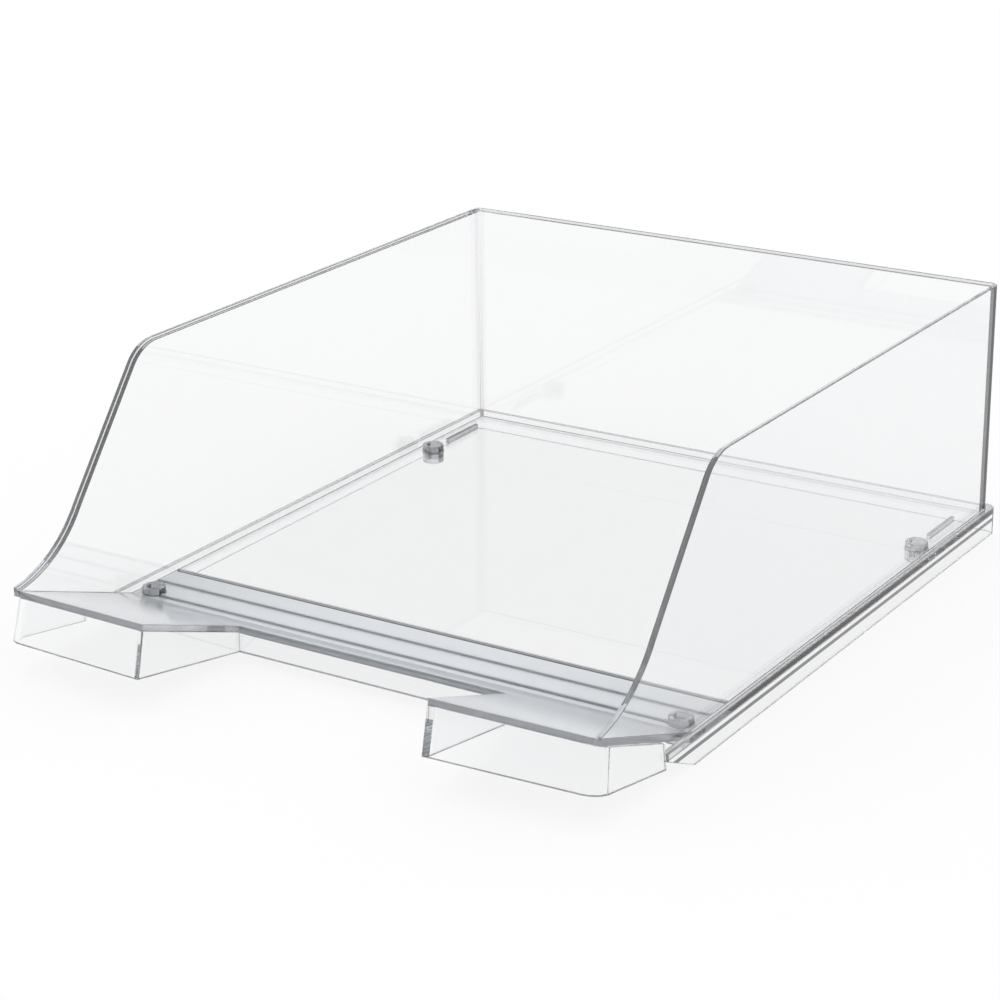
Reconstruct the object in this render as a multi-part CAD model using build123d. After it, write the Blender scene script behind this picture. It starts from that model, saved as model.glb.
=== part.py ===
from build123d import *
import os

# Letter tray: one clear injection moulding, written here as its separate moulded features.
# X = across the tray, Y = from the open front (-) to the back wall (+), Z = up from the desk.
# All sizes are in millimetres. Y is counted from the bend in the side walls while the features
# are drawn, and every part is moved by CENTRE_Y at the end, so that the finished tray has its
# origin on the desk at the centre of its footprint.

# ---- driving dimensions ------------------------------------------------------------------
TRAY_HEIGHT = 110.0          # desk to the top edge of the walls
WALL_INNER_X = 125.2         # half of the clear width between the side walls
WALL_INNER_Y = 243.5         # inner face of the back wall
WALL_T = 3.0                 # side and back wall thickness
CORNER_REACH = 6.0           # the rear corner pieces reach this far along each inner face
CORNER_INNER_R = 1.0         # inner plan radius of the two rear corners
CORNER_OUTER_R = 3.0         # outer plan radius of the two rear corners
RIM_STEP = 1.0               # the inner half of the wall top is this much lower
RIM_STRIP = 1.5              # thickness of the higher, outer half of the wall top

FLOOR_TOP = 10.0             # upper face of the floor
FLOOR_T = 2.5                # floor thickness
RAMP_START_Y = -14.0         # where the flat floor ends and the front ramp begins
LIP_Z = 34.0                 # height of the front lip above the desk
LIP_OUTER_Y = -78.0          # front lip at the outer corners
LIP_INNER_Y = -82.6          # front lip at the finger recess

BEND_R = 18.0                # rounding where the level wall top turns into the slope
SLOPE_FOOT = (-42.0, 56.0)   # Y, Z where the straight slope turns into the concave flare
FLARE_MID = (-58.0, 41.0)    # Y, Z of a point half way along the flare

RECESS_HALF_REAR = 60.4      # half width of the finger recess at its rear edge
RECESS_HALF_FRONT = 62.2     # half width of the finger recess at the lip
RECESS_Y = -28.8             # rear edge of the finger recess
APRON_T = 2.2                # thickness of the aprons below the ramp
APRON_REAR_Z = 4.3           # lower edge of the aprons at the finger recess
APRON_FRONT_Z = 14.0         # lower edge of the aprons at the front
APRON_FRONT_Y = -85.0        # where the lower edge reaches that height
LEAN_FRONT = 0.225           # outward lean of the front apron, mm per mm of drop
LEAN_SIDE = 0.085            # outward lean of the outer apron, mm per mm of drop
FOOT_CORNER_R = 8.0          # plan radius of the outer front corners

RAIL_OUT = 3.0               # how far the rail stands out from the wall
RAIL_TOP = 12.0              # upper face of the rail
RAIL_BOTTOM = 9.0            # lower face of the solid part of the rail
RAIL_CORNER_R = 4.0          # outer plan radius of the rail at the rear corners
SKIRT_T = 2.0                # thickness of the skirt below the rail
RAIL_FRONT_Y = -37.5         # front end of the side rails
SKIRT_FRONT_Y = -18.0        # the skirt slants down to the desk between the rail end and here

RIB_W = 1.4                  # width of the transverse floor ribs
RIB_H = 1.0                  # height of the transverse floor ribs
RIB_Y = (14.5, 2.0, -10.5)   # positions of the three ribs
RIB_HALF = (124.4, 124.4, 113.0)

PEG_R = 4.7                  # hollow stacking pegs through the floor
PEG_BORE_R = 2.9             # radius of the bores above and below the floor
PEG_X = 118.2
PEG_REAR_Y = 191.5
PEG_FRONT_Y = -8.6
PEG_BOTTOM = 3.0
PEG_TOP = 12.8

GUIDE_W = 1.6                # short guide ribs behind the rear pegs
GUIDE_H = 2.0
GUIDE_Y = (203.0, 228.0)

# ---- derived dimensions ------------------------------------------------------------------
WALL_OUTER_X = WALL_INNER_X + WALL_T
WALL_OUTER_Y = WALL_INNER_Y + WALL_T
RAIL_OUTER_X = WALL_OUTER_X + RAIL_OUT
RAIL_OUTER_Y = WALL_OUTER_Y + RAIL_OUT
CORNER_X = WALL_INNER_X - CORNER_REACH
CORNER_Y = WALL_INNER_Y - CORNER_REACH
FLOOR_BOTTOM = FLOOR_TOP - FLOOR_T
LIP_MEAN_Y = (LIP_OUTER_Y + LIP_INNER_Y) / 2
RAMP_SLOPE = (LIP_Z - FLOOR_TOP) / (RAMP_START_Y - LIP_MEAN_Y)
RAMP_DROP = FLOOR_T * (1 + RAMP_SLOPE ** 2) ** 0.5
APRON_SLOPE = (APRON_FRONT_Z - APRON_REAR_Z) / (RECESS_Y - APRON_FRONT_Y)
FAR = 400.0
CENTRE_Y = 81.25             # middle of the footprint, from the bend in the side walls


def ramp_top(y):
    """Height of the ramp's upper face at depth y."""
    return FLOOR_TOP + RAMP_SLOPE * (RAMP_START_Y - y)


def ramp_under(y):
    """Height of the ramp's lower face at depth y."""
    return ramp_top(y) - RAMP_DROP


def apron_edge(y):
    """Height of the lower edge of the aprons at depth y."""
    return APRON_REAR_Z + APRON_SLOPE * (RECESS_Y - y)


def side_prism(points, x_from, x_to):
    """Polygon given as (y, z) points, extruded across the tray from x_from to x_to."""
    face = make_face(Polyline(*[(x_from, y, z) for y, z in points], close=True))
    return Solid.extrude(face.face(), Vector(x_to - x_from, 0, 0))


def plan_prism(points, z_from, z_to):
    """Polygon given as (x, y) points, extruded upwards from z_from to z_to."""
    face = make_face(Polyline(*[(x, y, z_from) for x, y in points], close=True))
    return Solid.extrude(face.face(), Vector(0, 0, z_to - z_from))


def block(x0, x1, y0, y1, z0, z1):
    """Plain box between two corners."""
    return plan_prism([(x0, y0), (x1, y0), (x1, y1), (x0, y1)], z0, z1)


def corner_block(x_face, y_face, radius, z0, z1):
    """Rear right corner as a solid block out to the two faces, with its outer edge rounded."""
    corner = block(CORNER_X, x_face, CORNER_Y, y_face, z0, z1)
    edge = corner.edges().filter_by(Axis.Z).sort_by(Axis.X)[-2:].sort_by(Axis.Y)[-1]
    return fillet(edge, radius)


def inner_corner(z0, z1):
    """The clear space inside the rear right corner of the walls."""
    return corner_block(WALL_INNER_X, WALL_INNER_Y, CORNER_INNER_R, z0, z1)


def outer_corner(z0, z1):
    """The rear right corner of the walls, filled solid."""
    return corner_block(WALL_OUTER_X, WALL_OUTER_Y, CORNER_OUTER_R, z0, z1)


# ---- walls -------------------------------------------------------------------------------
def wall_outline(shift_y=0.0, shift_z=0.0):
    """Face of a side wall in the YZ plane: level top, rounded bend, slope, concave flare."""
    top = TRAY_HEIGHT + shift_z
    knee = (SLOPE_FOOT[0] + shift_y, SLOPE_FOOT[1] + shift_z)
    middle = (FLARE_MID[0] + shift_y, FLARE_MID[1] + shift_z)
    tip = (LIP_OUTER_Y, LIP_Z + shift_z)
    line = FilletPolyline((0, CORNER_Y, top), (0, shift_y, top), (0, *knee), radius=BEND_R)
    flare = ThreePointArc((0, *knee), (0, *middle), (0, *tip))
    rest = Polyline(
        (0, *tip),
        (0, LIP_OUTER_Y, ramp_under(LIP_OUTER_Y)),
        (0, RAMP_START_Y, ramp_under(RAMP_START_Y)),
        (0, RAMP_START_Y, FLOOR_BOTTOM),
        (0, CORNER_Y, FLOOR_BOTTOM),
        (0, CORNER_Y, top),
    )
    return make_face(Curve() + [*line.edges(), *flare.edges(), *rest.edges()])


def wall_right():
    """Side wall: a thin high outer strip and a slightly lower inner strip."""
    outer = Solid.extrude(wall_outline().face(), Vector(RIM_STRIP, 0, 0))
    inner = Solid.extrude(
        wall_outline(0.8, -RIM_STEP).face(), Vector(WALL_T - RIM_STRIP, 0, 0)
    )
    high = Pos(WALL_OUTER_X - RIM_STRIP, 0, 0) * outer
    low = Pos(WALL_INNER_X, 0, 0) * inner
    return high + low


def wall_back():
    """Straight part of the back wall between the rounded corners."""
    low_y = WALL_OUTER_Y - RIM_STRIP
    low = block(-CORNER_X, CORNER_X, WALL_INNER_Y, low_y, FLOOR_BOTTOM, TRAY_HEIGHT - RIM_STEP)
    high = block(-CORNER_X, CORNER_X, low_y, WALL_OUTER_Y, FLOOR_BOTTOM, TRAY_HEIGHT)
    return low + high


def wall_corner_right():
    """Rear corner of the walls, with the same low inner and high outer half as the walls."""
    low_top = TRAY_HEIGHT - RIM_STEP
    strip_x = WALL_OUTER_X - RIM_STRIP
    strip_y = WALL_OUTER_Y - RIM_STRIP
    corner = outer_corner(FLOOR_BOTTOM, TRAY_HEIGHT) - inner_corner(FLOOR_BOTTOM, TRAY_HEIGHT)
    corner -= corner_block(strip_x, strip_y, CORNER_INNER_R, low_top, TRAY_HEIGHT)
    return corner


# ---- rail and skirt ----------------------------------------------------------------------
def rail_right():
    """Solid rail along the foot of the side wall with the skirt that stands on the desk."""
    bar = block(WALL_OUTER_X, RAIL_OUTER_X, RAIL_FRONT_Y, CORNER_Y, RAIL_BOTTOM, RAIL_TOP)
    skirt_side = [
        (RAIL_FRONT_Y, RAIL_BOTTOM),
        (SKIRT_FRONT_Y, 0),
        (CORNER_Y, 0),
        (CORNER_Y, RAIL_BOTTOM),
    ]
    skirt = side_prism(skirt_side, RAIL_OUTER_X - SKIRT_T, RAIL_OUTER_X)
    return bar + skirt


def rail_back():
    """The same rail and skirt behind the back wall."""
    bar = block(-CORNER_X, CORNER_X, WALL_OUTER_Y, RAIL_OUTER_Y, RAIL_BOTTOM, RAIL_TOP)
    skirt = block(-CORNER_X, CORNER_X, RAIL_OUTER_Y - SKIRT_T, RAIL_OUTER_Y, 0, RAIL_BOTTOM)
    return bar + skirt


def rail_corner_right():
    """Rear corner of the rail and skirt, rounded a little more than the wall inside it."""
    bar = corner_block(RAIL_OUTER_X, RAIL_OUTER_Y, RAIL_CORNER_R, RAIL_BOTTOM, RAIL_TOP)
    bar -= outer_corner(RAIL_BOTTOM, RAIL_TOP)
    skirt = corner_block(RAIL_OUTER_X, RAIL_OUTER_Y, RAIL_CORNER_R, 0, RAIL_BOTTOM)
    skirt -= corner_block(
        RAIL_OUTER_X - SKIRT_T, RAIL_OUTER_Y - SKIRT_T, RAIL_CORNER_R - SKIRT_T, 0, RAIL_BOTTOM
    )
    return bar + skirt


# ---- floor and ramp ----------------------------------------------------------------------
def peg_centres():
    """Plan positions of the four stacking pegs."""
    return {
        "peg_front_left": (-PEG_X, PEG_FRONT_Y),
        "peg_front_right": (PEG_X, PEG_FRONT_Y),
        "peg_rear_left": (-PEG_X, PEG_REAR_Y),
        "peg_rear_right": (PEG_X, PEG_REAR_Y),
    }


def upright(x, y, radius, z0, z1):
    """Upright cylinder between two heights."""
    return Pos(x, y, z0) * Cylinder(radius, z1 - z0, align=(Align.CENTER, Align.CENTER, Align.MIN))


def peg(x, y):
    """Hollow stacking peg, open above and below, with the floor's thickness left across it."""
    body = upright(x, y, PEG_R, PEG_BOTTOM, PEG_TOP)
    body -= upright(x, y, PEG_BORE_R, PEG_BOTTOM, FLOOR_BOTTOM)
    body -= upright(x, y, PEG_BORE_R, FLOOR_TOP, PEG_TOP)
    return body


def floor_panel():
    """Flat floor with rounded rear corners and a hole where each peg passes."""
    panel = block(
        -WALL_INNER_X, WALL_INNER_X, RAMP_START_Y, CORNER_Y, FLOOR_BOTTOM, FLOOR_TOP
    )
    panel += block(-CORNER_X, CORNER_X, CORNER_Y, WALL_INNER_Y, FLOOR_BOTTOM, FLOOR_TOP)
    corner = inner_corner(FLOOR_BOTTOM, FLOOR_TOP)
    panel += corner
    panel += corner.mirror(Plane.YZ)
    for x, y in peg_centres().values():
        panel -= upright(x, y, PEG_R, FLOOR_BOTTOM, FLOOR_TOP)
    return panel


def ramp_section(y_front):
    """Section of the ramp from the floor to y_front as (y, z) points."""
    return [
        (RAMP_START_Y, FLOOR_TOP),
        (RAMP_START_Y, ramp_under(RAMP_START_Y)),
        (y_front, ramp_under(y_front)),
        (y_front, ramp_top(y_front)),
    ]


def ramp_right():
    """Ramp between the side wall and the finger recess, ending in the front lip."""
    body = side_prism(ramp_section(-95.0), 0, WALL_INNER_X)
    plan = [
        (RECESS_HALF_REAR, RAMP_START_Y),
        (RECESS_HALF_REAR, RECESS_Y),
        (RECESS_HALF_FRONT, LIP_INNER_Y),
        (WALL_OUTER_X, LIP_OUTER_Y),
        (WALL_OUTER_X, RAMP_START_Y),
    ]
    return body & plan_prism(plan, 0, 60)


def ramp_centre():
    """Short middle part of the ramp behind the finger recess."""
    return side_prism(ramp_section(RECESS_Y), -RECESS_HALF_REAR, RECESS_HALF_REAR)


# ---- front feet --------------------------------------------------------------------------
def foot_outline(z, inset):
    """Plan outline of the right foot at height z, drawn inset from the outer faces."""
    drop = LIP_Z - z
    x_out = WALL_OUTER_X + LEAN_SIDE * drop - inset
    y_out = LIP_OUTER_Y - LEAN_FRONT * drop + inset
    y_in = LIP_INNER_Y - LEAN_FRONT * drop + inset
    outline = Polyline(
        (RECESS_HALF_REAR + inset, RECESS_Y, z),
        (RECESS_HALF_FRONT + inset, y_in, z),
        (x_out, y_out, z),
        (x_out, RECESS_Y, z),
        close=True,
    )
    face = make_face(outline)
    corner = face.vertices().sort_by(Axis.X)[-2:].sort_by(Axis.Y)[0]
    return fillet(corner, FOOT_CORNER_R - inset)


def foot_shell():
    """The three aprons of the right foot in one piece, cut by the ramp and the lower edge."""
    outer = loft([foot_outline(0, 0).face(), foot_outline(40, 0).face()], ruled=True)
    inner = loft([foot_outline(0, APRON_T).face(), foot_outline(40, APRON_T).face()], ruled=True)
    band = [
        (RECESS_Y, ramp_under(RECESS_Y)),
        (RECESS_Y, apron_edge(RECESS_Y)),
        (-100.0, apron_edge(-100.0)),
        (-100.0, ramp_under(-100.0)),
    ]
    return (outer - inner) & side_prism(band, 0, FAR)


def foot_pieces():
    """Front, inner and outer apron of the right foot."""
    shell = foot_shell()
    x_inner = RECESS_HALF_FRONT + APRON_T + 0.6
    x_corner = WALL_OUTER_X - FOOT_CORNER_R - 1.0
    front = shell & block(x_inner, x_corner, -FAR, 0, 0, 60)
    inner = shell & block(0, x_inner, -FAR, 0, 0, 60)
    outer = shell & block(x_corner, FAR, -FAR, RAIL_FRONT_Y, 0, 60)
    return front, inner, outer


def recess_apron():
    """Apron hanging from the rear edge of the finger recess."""
    reach = RECESS_HALF_REAR + APRON_T
    section = [
        (RECESS_Y, APRON_REAR_Z),
        (RECESS_Y + APRON_T, APRON_REAR_Z),
        (RECESS_Y + APRON_T, ramp_under(RECESS_Y + APRON_T)),
        (RECESS_Y, ramp_under(RECESS_Y)),
    ]
    return side_prism(section, -reach, reach)


# ---- small features ----------------------------------------------------------------------
def floor_rib(index):
    """One of the three low ribs across the front of the floor."""
    half = RIB_HALF[index]
    y = RIB_Y[index]
    return block(-half, half, y - RIB_W / 2, y + RIB_W / 2, FLOOR_TOP, FLOOR_TOP + RIB_H)


def guide_rib(x):
    """Short rib on the floor between a rear peg and the back wall."""
    return block(x - GUIDE_W / 2, x + GUIDE_W / 2, *GUIDE_Y, FLOOR_TOP, FLOOR_TOP + GUIDE_H)


def build_parts():
    """All sub-parts by name."""
    foot_front, foot_inner, foot_outer = foot_pieces()
    right_hand = {
        "wall": wall_right(),
        "wall_corner": wall_corner_right(),
        "rail": rail_right(),
        "rail_corner": rail_corner_right(),
        "ramp": ramp_right(),
        "foot_front": foot_front,
        "foot_inner": foot_inner,
        "foot_outer": foot_outer,
    }
    parts = {
        "floor_panel": floor_panel(),
        "wall_back": wall_back(),
        "rail_back": rail_back(),
        "ramp_centre": ramp_centre(),
        "recess_apron": recess_apron(),
        "guide_rib_left": guide_rib(-PEG_X),
        "guide_rib_right": guide_rib(PEG_X),
    }
    for name, shape in right_hand.items():
        parts[name + "_right"] = shape
        parts[name + "_left"] = shape.mirror(Plane.YZ)
    for index in range(len(RIB_Y)):
        parts["floor_rib_%d" % (index + 1)] = floor_rib(index)
    for name, (x, y) in peg_centres().items():
        parts[name] = peg(x, y)
    return parts


os.makedirs("parts", exist_ok=True)
for name, shape in build_parts().items():
    export_step(Pos(0, -CENTRE_Y, 0) * shape, "parts/%s.step" % name)
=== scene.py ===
import math

import bmesh
import bpy
from mathutils import Matrix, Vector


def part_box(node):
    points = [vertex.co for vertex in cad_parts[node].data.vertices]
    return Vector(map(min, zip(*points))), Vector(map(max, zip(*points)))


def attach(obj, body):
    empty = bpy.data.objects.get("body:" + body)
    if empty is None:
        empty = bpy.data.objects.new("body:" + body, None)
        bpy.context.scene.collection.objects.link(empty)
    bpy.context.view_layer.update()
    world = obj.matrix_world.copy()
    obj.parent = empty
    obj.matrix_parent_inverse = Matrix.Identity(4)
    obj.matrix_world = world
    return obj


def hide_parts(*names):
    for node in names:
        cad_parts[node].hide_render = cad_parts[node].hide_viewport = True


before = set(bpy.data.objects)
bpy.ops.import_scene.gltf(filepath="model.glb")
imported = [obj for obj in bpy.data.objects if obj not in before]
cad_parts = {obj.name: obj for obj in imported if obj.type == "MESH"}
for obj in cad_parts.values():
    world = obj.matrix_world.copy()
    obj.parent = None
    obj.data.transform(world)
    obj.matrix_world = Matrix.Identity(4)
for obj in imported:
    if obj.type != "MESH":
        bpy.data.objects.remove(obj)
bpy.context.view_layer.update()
scene = bpy.context.scene


# ---------------------------------------------------------------------------
# Camera. It stands in front of the open end, right of the middle, and looks
# down into the tray, with a long lens so that the walls hardly converge.
# ---------------------------------------------------------------------------
CAMERA_PLACE = (0.5452, -0.8735, 0.4222)
CAMERA_TURN = 32.54
CAMERA_LOOKS_DOWN = 20.22
CAMERA_ROLL = -0.6

camera_data = bpy.data.cameras.new("camera")
camera_data.sensor_width = 36
camera_data.lens = 99.4
camera_data.clip_start = 0.05
camera_data.clip_end = 60
camera = bpy.data.objects.new("camera", camera_data)
scene.collection.objects.link(camera)
camera.matrix_world = (
    Matrix.Translation(CAMERA_PLACE)
    @ Matrix.Rotation(math.radians(CAMERA_TURN), 4, "Z")
    @ Matrix.Rotation(math.radians(90 - CAMERA_LOOKS_DOWN), 4, "X")
    @ Matrix.Rotation(math.radians(CAMERA_ROLL), 4, "Z")
)
scene.camera = camera


# ---------------------------------------------------------------------------
# Desk and room. The tray stands on a plain pale desk that runs back into a
# white room, so that clear plastic shows white wherever it isn't turned away.
# ---------------------------------------------------------------------------
DESK_SIZE = 12
DESK_GAP = 0.0002
DESK_GREY = 0.95
DESK_OWN_LIGHT = 0.85
ROOM_LIGHT = 1.06
ROOM_LOW = (0.45, (1, 1, 1, 1))
ROOM_HIGH = (0.75, (0.35, 0.36, 0.38, 1))

scene.view_settings.view_transform = "Standard"
scene.cycles.max_bounces = 24
scene.cycles.glossy_bounces = 16
scene.cycles.transmission_bounces = 20


def any_ray(tree, kinds):
    """Socket that is 1 for rays of any of the kinds, and 0 for all others."""
    path = tree.nodes.new("ShaderNodeLightPath")
    found = path.outputs[kinds[0]]
    for kind in kinds[1:]:
        either = tree.nodes.new("ShaderNodeMath")
        either.operation = "MAXIMUM"
        tree.links.new(found, either.inputs[0])
        tree.links.new(path.outputs[kind], either.inputs[1])
        found = either.outputs[0]
    return found


def end_with_mix(tree, output_kind, share, first, second):
    """Ends the tree with a mix of two shaders, of which share is the second."""
    mix = tree.nodes.new("ShaderNodeMixShader")
    out = tree.nodes.new(output_kind)
    tree.links.new(share, mix.inputs[0])
    tree.links.new(first.outputs[0], mix.inputs[1])
    tree.links.new(second.outputs[0], mix.inputs[2])
    tree.links.new(mix.outputs[0], out.inputs["Surface"])


bpy.ops.object.select_all(action="DESELECT")
bpy.ops.mesh.primitive_plane_add(size=DESK_SIZE, location=(0, 0, -DESK_GAP))
desk = bpy.context.active_object
desk.name = "desk"

paper = bpy.data.materials.new("pale_desk")
paper.use_nodes = True
tree = paper.node_tree
tree.nodes.clear()
matt = tree.nodes.new("ShaderNodeBsdfDiffuse")
matt.inputs["Color"].default_value = (DESK_GREY, DESK_GREY, DESK_GREY, 1)
white = tree.nodes.new("ShaderNodeEmission")
share = tree.nodes.new("ShaderNodeMath")
share.operation = "MULTIPLY"
share.inputs[1].default_value = DESK_OWN_LIGHT
seen = any_ray(tree, ("Is Camera Ray", "Is Glossy Ray", "Is Transmission Ray"))
tree.links.new(seen, share.inputs[0])
end_with_mix(tree, "ShaderNodeOutputMaterial", share.outputs[0], matt, white)
desk.data.materials.append(paper)

world = bpy.data.worlds.new("room")
scene.world = world
world.use_nodes = True
tree = world.node_tree
tree.nodes.clear()
where = tree.nodes.new("ShaderNodeTexCoord")
split = tree.nodes.new("ShaderNodeSeparateXYZ")
tree.links.new(where.outputs["Generated"], split.inputs[0])
fade = tree.nodes.new("ShaderNodeValToRGB")
fade.color_ramp.interpolation = "EASE"
for stop, (position, colour) in zip(fade.color_ramp.elements, (ROOM_LOW, ROOM_HIGH)):
    stop.position = position
    stop.color = colour
tree.links.new(split.outputs["Z"], fade.inputs[0])
seen_room = tree.nodes.new("ShaderNodeBackground")
tree.links.new(fade.outputs[0], seen_room.inputs["Color"])
plain_room = tree.nodes.new("ShaderNodeBackground")
plain_room.inputs["Color"].default_value = (1, 1, 1, 1)
plain_room.inputs["Strength"].default_value = ROOM_LIGHT
bent = any_ray(tree, ("Is Glossy Ray", "Is Transmission Ray"))
end_with_mix(tree, "ShaderNodeOutputWorld", bent, plain_room, seen_room)


# ---------------------------------------------------------------------------
# The tray. One injection moulding in clear polystyrene: walls, floor, ramps,
# feet, rail, pegs and ribs leave the mould together, so they are one skin.
# Wide faces are polished; thin edges are rougher and painted grey as shade; the front is
# tinted pale blue-grey, half opaque and rougher; dark shade is painted where thick plastic
# traps the light.
# ---------------------------------------------------------------------------
REFRACTION = 1.59
LET_IN = 0.0003
# heights between which a band of dark shade is painted along the skirt
SKIRT_SHADE_BAND = (0.0062, 0.0078)
# width of the dark shade painted on the outer faces of the rear corners
CORNER_SHADE_STRIP = 0.0029
WIDEST_EDGE = 0.00305
PEG_REACH = 0.005
ROUNDING = 0.00025
SAME_PLACE = 0.000002
NEAR = 0.0001
WIDE_FACE = 0.0001
FLAT_ANGLE = math.radians(0.5)
SMOOTH_ANGLE = math.radians(22)
CORNER_ANGLE = math.radians(28)

# the plastic is a little uneven in tint, gloss and level, as moulded sheets are
flow = bpy.data.node_groups.new("moulded_flow", "ShaderNodeTree")
for title, kind, value in (
    ("Colour", "NodeSocketColor", (1, 1, 1, 1)),
    ("Deep Colour", "NodeSocketColor", (1, 1, 1, 1)),
    ("Low Roughness", "NodeSocketFloat", 0.0),
    ("High Roughness", "NodeSocketFloat", 0.1),
    ("Ripple", "NodeSocketFloat", 1.0),
):
    socket = flow.interface.new_socket(name=title, in_out="INPUT", socket_type=kind)
    socket.default_value = value
for title, kind in (
    ("Colour", "NodeSocketColor"),
    ("Roughness", "NodeSocketFloat"),
    ("Height", "NodeSocketFloat"),
):
    flow.interface.new_socket(name=title, in_out="OUTPUT", socket_type=kind)
entry = flow.nodes.new("NodeGroupInput")
result = flow.nodes.new("NodeGroupOutput")
place = flow.nodes.new("ShaderNodeTexCoord")
streaks = flow.nodes.new("ShaderNodeTexNoise")
streaks.inputs["Scale"].default_value = 22
streaks.inputs["Detail"].default_value = 2
clouds = flow.nodes.new("ShaderNodeTexNoise")
clouds.inputs["Scale"].default_value = 5
clouds.inputs["Detail"].default_value = 1
blend = flow.nodes.new("ShaderNodeMix")
blend.data_type = "RGBA"
gloss = flow.nodes.new("ShaderNodeMapRange")
ripple = flow.nodes.new("ShaderNodeMath")
ripple.operation = "MULTIPLY"
for source, target in (
    (place.outputs["Object"], streaks.inputs["Vector"]),
    (place.outputs["Object"], clouds.inputs["Vector"]),
    (clouds.outputs[0], blend.inputs["Factor"]),
    (entry.outputs["Colour"], blend.inputs[6]),
    (entry.outputs["Deep Colour"], blend.inputs[7]),
    (blend.outputs[2], result.inputs["Colour"]),
    (streaks.outputs[0], gloss.inputs["Value"]),
    (entry.outputs["Low Roughness"], gloss.inputs["To Min"]),
    (entry.outputs["High Roughness"], gloss.inputs["To Max"]),
    (gloss.outputs[0], result.inputs["Roughness"]),
    (clouds.outputs[0], ripple.inputs[0]),
    (entry.outputs["Ripple"], ripple.inputs[1]),
    (ripple.outputs[0], result.inputs["Height"]),
):
    flow.links.new(source, target)


def clear_plastic(name, colour, deep, rough, clear, leaving=None):
    """Clear polystyrene; leaving is the tint of light on its way out, where it differs, so
    that a painted shade shows only on light coming in through the face.
    """
    plastic = bpy.data.materials.new(name)
    plastic.use_nodes = True
    nodes, links = plastic.node_tree.nodes, plastic.node_tree.links
    nodes.clear()
    out = nodes.new("ShaderNodeOutputMaterial")
    skin = nodes.new("ShaderNodeBsdfPrincipled")
    skin.inputs["IOR"].default_value = REFRACTION
    skin.inputs["Transmission Weight"].default_value = clear
    grain = nodes.new("ShaderNodeGroup")
    grain.node_tree = flow
    grain.inputs["Colour"].default_value = (*colour, 1)
    grain.inputs["Deep Colour"].default_value = (*deep, 1)
    grain.inputs["Low Roughness"].default_value = rough[0]
    grain.inputs["High Roughness"].default_value = rough[1]
    bump = nodes.new("ShaderNodeBump")
    bump.inputs["Strength"].default_value = 0.3
    bump.inputs["Distance"].default_value = 0.0003
    tint = grain.outputs["Colour"]
    if leaving:
        facing = nodes.new("ShaderNodeNewGeometry")
        way_out = nodes.new("ShaderNodeMix")
        way_out.data_type = "RGBA"
        way_out.inputs[7].default_value = (*leaving, 1)
        links.new(facing.outputs["Backfacing"], way_out.inputs["Factor"])
        links.new(tint, way_out.inputs[6])
        tint = way_out.outputs[2]
    links.new(tint, skin.inputs["Base Color"])
    links.new(grain.outputs["Roughness"], skin.inputs["Roughness"])
    links.new(grain.outputs["Height"], bump.inputs["Height"])
    links.new(bump.outputs["Normal"], skin.inputs["Normal"])
    links.new(skin.outputs[0], out.inputs["Surface"])
    return plastic


polished = clear_plastic(
    "clear_polystyrene", (0.96, 0.963, 0.966), (0.945, 0.95, 0.956), (0.0, 0.03), 1
)
# thin edges: rougher, and their grey colour is painted shade
edge_shade = clear_plastic(
    "polystyrene_edge_shade", (0.8, 0.81, 0.83), (0.72, 0.73, 0.76), (0.1, 0.2), 0.8
)
# front of the floor and the ramps: tinted pale blue-grey, half opaque and a little rougher
blue_grey_front = clear_plastic(
    "polystyrene_blue_grey_front", (0.93, 0.955, 0.985), (0.9, 0.935, 0.975), (0.08, 0.14), 0.45
)
# near-black painted shade, seen only on light that comes in through the face
painted_shade = clear_plastic(
    "polystyrene_painted_shade", (0.05, 0.05, 0.056), (0.03, 0.03, 0.035), (0.05, 0.1), 1,
    leaving=(0.9, 0.9, 0.92),
)
finishes_and_shades = (polished, edge_shade, blue_grey_front, painted_shade)
POLISHED, EDGE_SHADE, BLUE_GREY_FRONT, PAINTED_SHADE = range(4)

# a copy of every moulded feature
solids = {}
for name in sorted(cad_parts):
    solid = bpy.data.objects.new("moulding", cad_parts[name].data.copy())
    scene.collection.objects.link(solid)
    solid.data.materials.clear()
    for finish in finishes_and_shades:
        solid.data.materials.append(finish)
    solids[name] = solid

# the top of the recess apron is let into the ramp above it, so that the two weld
apron_low, apron_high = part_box("recess_apron")
apron_middle_z = (apron_low.z + apron_high.z) / 2
for vertex in solids["recess_apron"].data.vertices:
    if vertex.co.z > apron_middle_z:
        vertex.co.z += LET_IN

# all the features are united into one closed skin
bpy.ops.object.select_all(action="DESELECT")
for solid in solids.values():
    solid.select_set(True)
moulding = solids["floor_panel"]
bpy.context.view_layer.objects.active = moulding
bpy.ops.object.mode_set(mode="EDIT")
bpy.ops.mesh.select_all(action="SELECT")
bpy.ops.mesh.remove_doubles(threshold=SAME_PLACE / 2)
bpy.ops.object.mode_set(mode="OBJECT")
back = solids["wall_back"]
back.select_set(False)
bpy.ops.object.join()
weld = moulding.modifiers.new("weld", "BOOLEAN")
weld.operation = "UNION"
weld.solver = "EXACT"
weld.use_self = True
weld.object = back
bpy.ops.object.modifier_apply(modifier="weld")
bpy.data.objects.remove(back)

# the floor is cut along the rearmost rib, because the pale blue-grey front tint starts there
floor_low, floor_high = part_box("floor_panel")
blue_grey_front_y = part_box("floor_rib_1")[0].y


def on_floor(face):
    """True for the level faces on the top and underside of the floor."""
    middle = face.calc_center_median()
    off_level = min(abs(middle.z - floor_low.z), abs(middle.z - floor_high.z))
    return abs(face.normal.z) > 0.999 and off_level < NEAR / 2 and abs(middle.x) < floor_high.x


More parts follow.
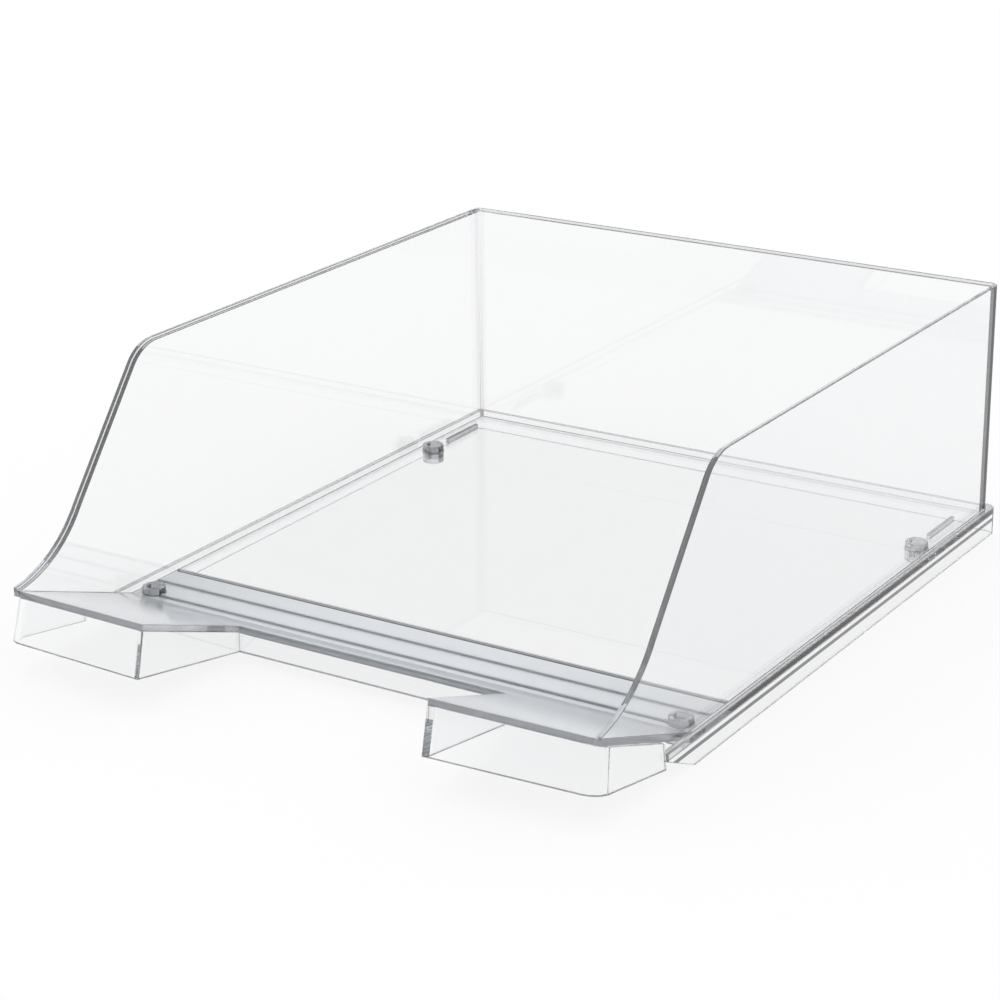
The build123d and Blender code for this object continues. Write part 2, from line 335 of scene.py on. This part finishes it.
def select_faces(chosen):
    """Selects the moulding's faces for which chosen is true, in edit mode."""
    shell = bmesh.from_edit_mesh(moulding.data)
    for face in shell.faces:
        face.select = chosen(face)
    bmesh.update_edit_mesh(moulding.data)


bpy.ops.object.mode_set(mode="EDIT")
bpy.ops.mesh.select_all(action="SELECT")
bpy.ops.mesh.remove_doubles(threshold=SAME_PLACE)
select_faces(on_floor)
bpy.ops.mesh.bisect(plane_co=(0, blue_grey_front_y, 0), plane_no=(0, 1, 0))
select_faces(on_floor)
bpy.ops.mesh.beautify_fill(angle_limit=2 * FLAT_ANGLE)

# the outer face of the skirt is cut above and below the band of painted dark shade along it
rails = [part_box(name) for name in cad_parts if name.startswith("rail_")]
rail_x = max(high.x for low, high in rails)
rail_y = max(high.y for low, high in rails)
rail_z = max(high.z for low, high in rails)


def on_skirt(face):
    """True for the outer faces of the skirt and the rail above it."""
    middle = face.calc_center_median()
    sideways = abs(face.normal.x) > 0.9 and abs(middle.x) > rail_x - NEAR / 2
    behind = face.normal.y > 0.9 and middle.y > rail_y - NEAR / 2
    return (sideways or behind) and middle.z < rail_z


for height in SKIRT_SHADE_BAND:
    select_faces(on_skirt)
    bpy.ops.mesh.bisect(plane_co=(0, 0, height), plane_no=(0, 0, 1))

# a pale blue-grey tint at the front; painted dark shade, standing in for the dark that thick
# plastic shows where it traps the light, on the outer faces of the rear corners, along the
# skirt and on the guide ribs
corners = [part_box("wall_corner_left"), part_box("wall_corner_right")]
guides = [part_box("guide_rib_left"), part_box("guide_rib_right")]


def within(point, boxes):
    """True where the point is in one of the boxes, or just outside it."""
    return any(
        all(low[i] - NEAR < point[i] < high[i] + NEAR for i in range(3))
        for low, high in boxes
    )


def finish_or_shade_of(face):
    """The finish of a wide face, or its painted dark shade."""
    middle = face.calc_center_median()
    outermost = abs(middle.x) > corners[1][1].x - CORNER_SHADE_STRIP
    if within(middle, corners) and abs(face.normal.x) > 0.3 and outermost:
        return PAINTED_SHADE
    if on_skirt(face) and SKIRT_SHADE_BAND[0] < middle.z < SKIRT_SHADE_BAND[1]:
        return PAINTED_SHADE
    if face.normal.z > 0.9 and within(middle, guides):
        return PAINTED_SHADE
    in_tray = abs(middle.x) < floor_high.x + 0.003 and middle.z > floor_low.z - NEAR
    in_front = middle.y < blue_grey_front_y and abs(face.normal.z) > 0.9
    return BLUE_GREY_FRONT if in_tray and in_front else POLISHED


shell = bmesh.from_edit_mesh(moulding.data)
for face in shell.faces:
    face.material_index = finish_or_shade_of(face)
    face.select = not on_floor(face)
bmesh.update_edit_mesh(moulding.data)
bpy.ops.mesh.dissolve_limited(angle_limit=FLAT_ANGLE, delimit={"MATERIAL"})
bpy.ops.object.mode_set(mode="OBJECT")

# thin patches of smoothly joined faces are edges and get the grey painted edge shade; the
# sides of the pegs get painted dark shade, their tops stay polished
pegs = [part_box(name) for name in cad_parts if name.startswith("peg_")]
peg_centres = [((low + high) / 2).xy for low, high in pegs]


def patch_from(start, done):
    """The faces joined smoothly to start, and the length of the patch's rim."""
    done.add(start.index)
    patch = [start]
    rim = 0.0
    for face in patch:
        for edge in face.edges:
            if len(edge.link_faces) != 2:
                continue
            if edge.calc_face_angle(0) >= SMOOTH_ANGLE:
                rim += edge.calc_length()
                continue
            for other in edge.link_faces:
                if other.index not in done:
                    done.add(other.index)
                    patch.append(other)
    return patch, rim


shell = bmesh.new()
shell.from_mesh(moulding.data)
shell.faces.index_update()
done = set()
for start in shell.faces:
    if start.index in done:
        continue
    patch, rim = patch_from(start, done)
    width = 2 * sum(face.calc_area() for face in patch) / max(rim, 1e-9)
    for face in patch:
        middle = face.calc_center_median()
        on_peg = any((middle.xy - centre).length < PEG_REACH for centre in peg_centres)
        # painted dark shade on the sides of the pegs
        if on_peg and abs(face.normal.x) > 0.9:
            face.material_index = PAINTED_SHADE
        elif on_peg and face.normal.z > 0.9:
            face.material_index = POLISHED
        elif width < WIDEST_EDGE and face.material_index == POLISHED:
            face.material_index = EDGE_SHADE
shell.to_mesh(moulding.data)
shell.free()

# every corner is eased by a quarter of a millimetre, and the eased faces get the grey painted
# edge shade; wide and blue-grey front faces stay flat
soften = moulding.modifiers.new("soften", "BEVEL")
soften.limit_method = "ANGLE"
soften.angle_limit = CORNER_ANGLE
soften.width = ROUNDING
soften.segments = 2
soften.use_clamp_overlap = False
soften.material = EDGE_SHADE
bpy.ops.object.modifier_apply(modifier="soften")
bpy.ops.object.shade_smooth_by_angle(angle=math.radians(35))
for face in moulding.data.polygons:
    level = abs(face.normal.z) > 0.9999
    if face.area > WIDE_FACE or level or face.material_index == BLUE_GREY_FRONT:
        face.use_smooth = False
even = moulding.modifiers.new("even", "WEIGHTED_NORMAL")
even.mode = "FACE_AREA"
even.weight = 90
even.keep_sharp = True
bpy.ops.object.modifier_apply(modifier="even")
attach(moulding, "root")
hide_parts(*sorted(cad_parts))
